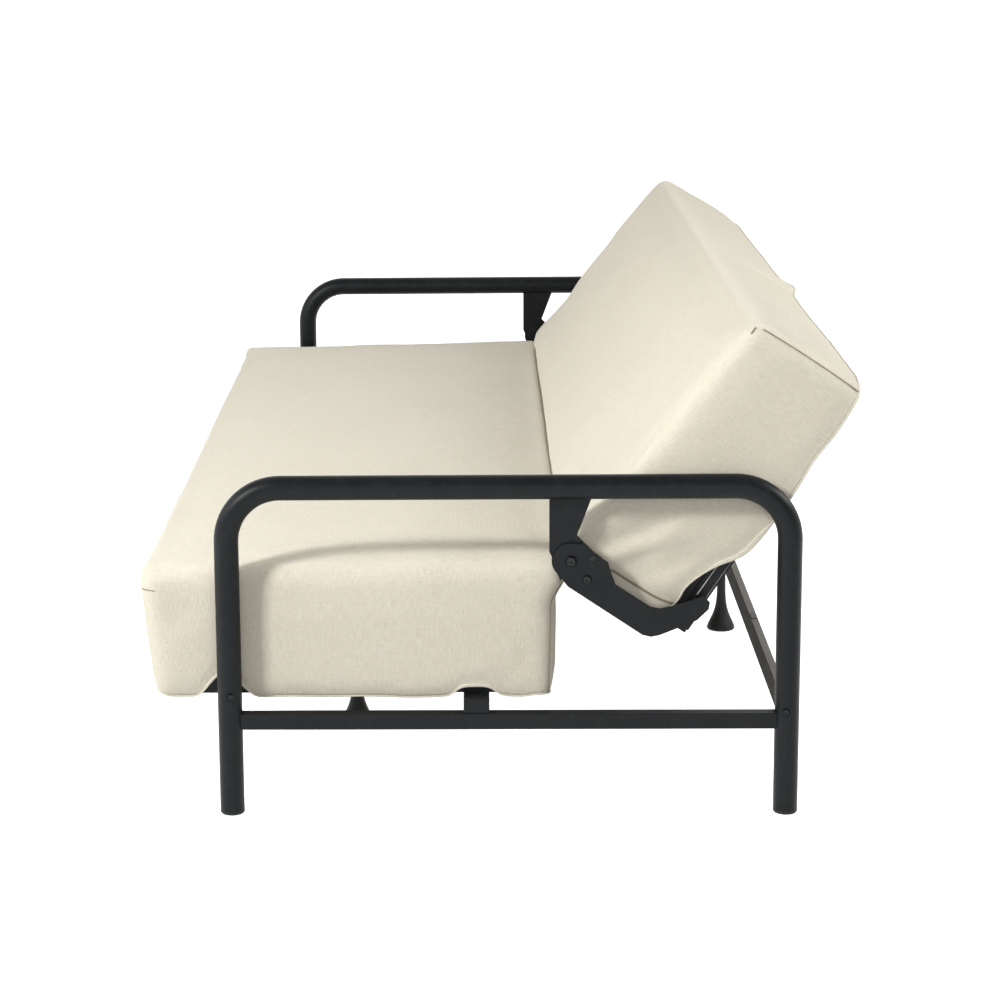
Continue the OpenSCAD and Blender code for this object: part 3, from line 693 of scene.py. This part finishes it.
seat_points = seat_shape(seat)
seat_points = wrinkles(seat_points, vertex_normals(seat_points, seat.faces), WRINKLE, 3)
seat_cover = new_object("seat_cover", seat_points, seat.faces, LINEN, "base",
                        seat.uv)
COVER_X_MAX, CREASE_Y = 0.9985, 0.0965      # clear of the levers; front of the back's lower lip


def seat_room(points):
    points[:, 0] = np.clip(points[:, 0], -COVER_X_MAX, COVER_X_MAX)
    points[:, 1] = np.minimum(points[:, 1], SEAT_REAR + 0.001)
    return points


relax_cloth(seat_cover, seat, seat_room)
seat_points = points_of(seat_cover)
finish_cover(seat_cover, ["seat_cushion", "seat_cover_skirt"], "base")

bx, bu, bw = back_shape(back)
back_points = back_to_row(bx, bu, bw)
back_points = wrinkles(back_points, vertex_normals(back_points, back.faces), WRINKLE, 11)
back_cover = new_object("back_cover", back_points, back.faces, LINEN, "back",
                        back.uv)


def back_room(points):
    points[:, 0] = np.clip(points[:, 0], -COVER_X_MAX, COVER_X_MAX)
    points[:, 1] = np.maximum(points[:, 1], CREASE_Y)
    return points


relax_cloth(back_cover, back, back_room)
back_points = points_of(back_cover)
finish_cover(back_cover, ["back_cushion", "back_cover_skirt"], "back")


# ---- Hem bands ------------------------------------------------------------------------------

def hem_band(name, cover, points, body, width, thick):
    """Rolled edge of the hem; width is one number, or a function of the hem's points."""
    path = points[cover.ring(cover.rows)]
    up = points[cover.ring(cover.rows - 1)] - path
    up /= np.linalg.norm(up, axis=1, keepdims=True)
    tangent = np.roll(path, -1, axis=0) - np.roll(path, 1, axis=0)
    out = np.cross(tangent, up)
    out /= np.linalg.norm(out, axis=1, keepdims=True)
    size = width(path)
    return strip(name, path + up * (size / 2 - 0.001)[:, None], out, up, size, thick,
                 LINEN_BAND, body, True)


def seat_band_width(path):
    return 0.0025 + 0.0030 * smoothstep(path[:, 2], SEAT_HEM + 0.003, SEAT_HEM + 0.012)


def back_band_width(path):
    u = row_to_back(path)[:, 1]
    return 0.0035 + 0.0060 * smoothstep(u, 0.10, 0.13) * (1 - smoothstep(u, 0.18, 0.23))


hem_band("seat_hem_band", seat, seat_points, "base", seat_band_width, 0.0030)
hem_band("back_hem_band", back, back_points, "back", back_band_width, 0.0028)


# ---- Seams ----------------------------------------------------------------------------------

def seam(name, cover, points, places, body, width=0.0013):
    """A sewn line along grid places, each (row of the wall, number along the loop), drawn dark as
    painted shade in the seam's groove.
    """
    normals = vertex_normals(points, cover.faces)
    index = [cover.ring(row)[k % len(cover.loop)] for row, k in places]
    path, out = points[index], normals[index]
    tangent = np.gradient(path, axis=0)
    up = np.cross(out, tangent)
    up /= np.linalg.norm(up, axis=1, keepdims=True)
    return strip(name, path + out * 0.0004, out, up, width, 0.0016, THREAD_AND_SHADE, body,
                 False)


def column(k, first, last):
    return [(row, k) for row in range(first, last + 1)]


for side_name, near_corner, far_corner, step in (("left", seat.nx, seat.nx + seat.ny, 1),
                                                 ("right", 0, 2 * seat.nx + seat.ny, -1)):
    seam("seat_rear_seam_" + side_name, seat, seat_points, column(far_corner, 3, seat.rows), "base")
    seam("seat_corner_dart_" + side_name, seat, seat_points,
         [(3, near_corner + step * i) for i in range(-1, 3)], "base")
for side_name, corner, step in (("left", back.nx + back.ny, -1),
                                ("right", 2 * back.nx + back.ny, 1)):
    seam("back_corner_seam_" + side_name, back, back_points, column(corner, 1, back.rows), "back")
    seam("back_corner_dart_" + side_name, back, back_points,
         [(0, corner + step * i) for i in range(0, 3)], "back", 0.0020)
# The lower seams are drawn wide, as painted shade in the fold's gap along them.
for side_name, corner in (("left", back.nx), ("right", 0)):
    seam("back_lower_seam_" + side_name, back, back_points, column(corner, 5, back.rows),
         "back", 0.0044)


# ---- Linings under the foam -----------------------------------------------------------------

SLAT_PITCH = 0.112


def lining(name, x_half, v0, v1, place, material, body, sag=0.0012):
    """Cloth under the foam, which dips between the slats; place() puts it on its body."""
    nx, nv = 132, 36
    gx, gv = np.linspace(-x_half, x_half, nx + 1), np.linspace(v0, v1, nv + 1)
    verts, uv, faces = [], [], []
    for v in gv:
        for x in gx:
            edge = min(1.0, (x_half - abs(x)) / 0.02, (v - v0) / 0.02, (v1 - v) / 0.02)
            between = 0.5 - 0.5 * math.cos(2 * math.pi * (x / SLAT_PITCH + 0.5))
            verts.append(place(x, v, 0.008 * (1 - edge) ** 2 - sag * between * edge))
    for j in range(nv):
        for i in range(nx):
            a = j * (nx + 1) + i
            faces.append((a, a + nx + 1, a + nx + 2, a + 1))
            uv += [(gx[i], gv[j]), (gx[i], gv[j + 1]), (gx[i + 1], gv[j + 1]), (gx[i + 1], gv[j])]
    obj = new_object(name, verts, faces, material, body, uv)
    sub = obj.modifiers.new("cloth", "SOLIDIFY")
    sub.thickness = 0.001
    sub.offset = -1
    apply_modifiers(obj)
    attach(obj, body)
    return obj


SEAT_UNDER = SEAT_LO.z + 0.0016
lining("seat_lining", 0.9850, HEM_LO.y + 0.014, HEM_HI.y - 0.004,
       lambda x, v, rise: (x, v, SEAT_UNDER + rise), LINING, "base")
lining("back_lining", 0.9850, 0.0235, 0.4595,
       lambda x, v, rise: tuple(back_to_row(x, v, BACK_FOAM_LOW + 0.0018 + rise)), LINEN, "back")


def shade_sheets(name, place, v0, v1, low, high, body):
    """Near-black sheet on top of each side bar, between the bar and the foam: painted shade for the
    dark inside of the cover.
    """
    for side_name, sign in (("left", 1), ("right", -1)):
        verts, faces, uv = [], [], []
        n, m = 44, 5
        for i in range(n + 1):
            v = v0 + (v1 - v0) * i / n
            for k in range(m + 1):
                t = k / m
                bow = 0.0015 * math.sin(math.pi * t) + 0.0006 * math.sin(31 * v)
                verts.append(place(sign * (0.9865 + bow), v, low + (high - low) * t))
        for i in range(n):
            for k in range(m):
                a = i * (m + 1) + k
                faces.append((a, a + m + 1, a + m + 2, a + 1))
                uv += [(0, 0)] * 4
        obj = new_object(f"{name}_{side_name}", verts, faces, SHADE_SHEET, body, uv)
        wall = obj.modifiers.new("cloth", "SOLIDIFY")
        wall.thickness = 0.0012
        apply_modifiers(obj)
        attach(obj, body)


shade_sheets("seat_shade_sheet", lambda x, v, w: (x, v, w), HEM_LO.y + 0.024, HEM_HI.y - 0.014,
        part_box("seat_side_bar_left")[1].z, SEAT_UNDER, "base")
shade_sheets("back_shade_sheet", lambda x, v, w: tuple(back_to_row(x, v, w)), 0.004, 0.453,
        -0.1900, BACK_FOAM_LOW + 0.0018, "back")

# Two thin strips along each side bar of the back, seen where its cover is cut away: painted
# highlights, the lower one fainter, for light caught on the bar's edges.
for side_name, sign in (("left", 1), ("right", -1)):
    for row_name, depth, first, last, highlight_paint in (("upper", 0.1972, 0.030, 0.400, LINING),
                                               ("lower", 0.2113, 0.060, 0.400, RUBBER)):
        along = np.linspace(first, last, 30)
        still = np.ones_like(along)
        path = back_to_row(sign * 0.9906 * still, along, -depth * still)
        up = back_to_row(0 * still, 0 * still, still) - HINGE_AT
        strip(f"back_bar_edge_{row_name}_{side_name}", path, [(sign, 0, 0)] * 30, up * [0, 1, 1],
              0.0016, 0.0010, highlight_paint, "back", False)


# ---- Floor, backdrop and light --------------------------------------------------------------

def floor():
    """White floor that curves up behind the sofa; it doesn't light the sofa."""
    mesh = bpy.data.meshes.new("floor")
    steps = [(-30, 0.0), (3.0, 0.0), (4.2, 0.05), (5.0, 0.35), (5.5, 1.0), (5.7, 2.2), (5.8, 9.0)]
    verts = [(-d, y, z) for y in (-30.0, 30.0) for d, z in steps]
    n = len(steps)
    mesh.from_pydata(verts, [], [(i, i + 1, n + i + 1, n + i) for i in range(n - 1)])
    mesh.polygons.foreach_set("use_smooth", np.ones(len(mesh.polygons), bool))
    g = Graph("floor_paint")
    at = g.place()
    fine = g.noise(at, 3.0, 3.0)
    g.set(Base_Color=g.mix(fine, (0.88, 0.88, 0.88, 1), (0.90, 0.90, 0.90, 1)), Roughness=0.9,
          Specular_IOR_Level=0.1, Emission_Color=(1, 1, 1, 1), Emission_Strength=0.80)
    mesh.materials.append(g.material)
    obj = bpy.data.objects.new("floor", mesh)
    scene.collection.objects.link(obj)
    obj.visible_diffuse = False


floor()


def area_light(name, at, target, size, power, colour=(1, 1, 1)):
    data = bpy.data.lights.new(name, "AREA")
    data.shape = "RECTANGLE"
    data.size, data.size_y = size
    data.energy = power
    data.color = colour
    obj = bpy.data.objects.new(name, data)
    scene.collection.objects.link(obj)
    direction = Vector(target) - Vector(at)
    turn = direction.to_track_quat("-Z", "Y").to_matrix().to_4x4()
    obj.matrix_world = Matrix.Translation(at) @ turn
    return obj


def from_middle(azimuth, elevation, distance):
    """A point round the sofa: azimuth from +X towards +Y, in degrees."""
    a, e = math.radians(azimuth), math.radians(elevation)
    return (distance * math.cos(e) * math.cos(a), distance * math.cos(e) * math.sin(a),
            0.35 + distance * math.sin(e))


area_light("key", from_middle(-43, 29, 4.6), (0.4, 0, 0.35), (0.65, 0.65), 146)
area_light("rear_top", from_middle(82, 32, 3.4), (0, 0.2, 0.5), (2.2, 1.2), 76)
area_light("side_fill", from_middle(6, 10, 4.6), (0, 0, 0.35), (2.6, 1.4), 26)
area_light("front_fill", from_middle(-75, 20, 5.0), (0, 0, 0.35), (3.0, 2.0), 68)
world = bpy.data.worlds.new("studio")
scene.world = world
world.use_nodes = True
world.node_tree.nodes["Background"].inputs["Color"].default_value = (1, 1, 1, 1)
world.node_tree.nodes["Background"].inputs["Strength"].default_value = 0.46
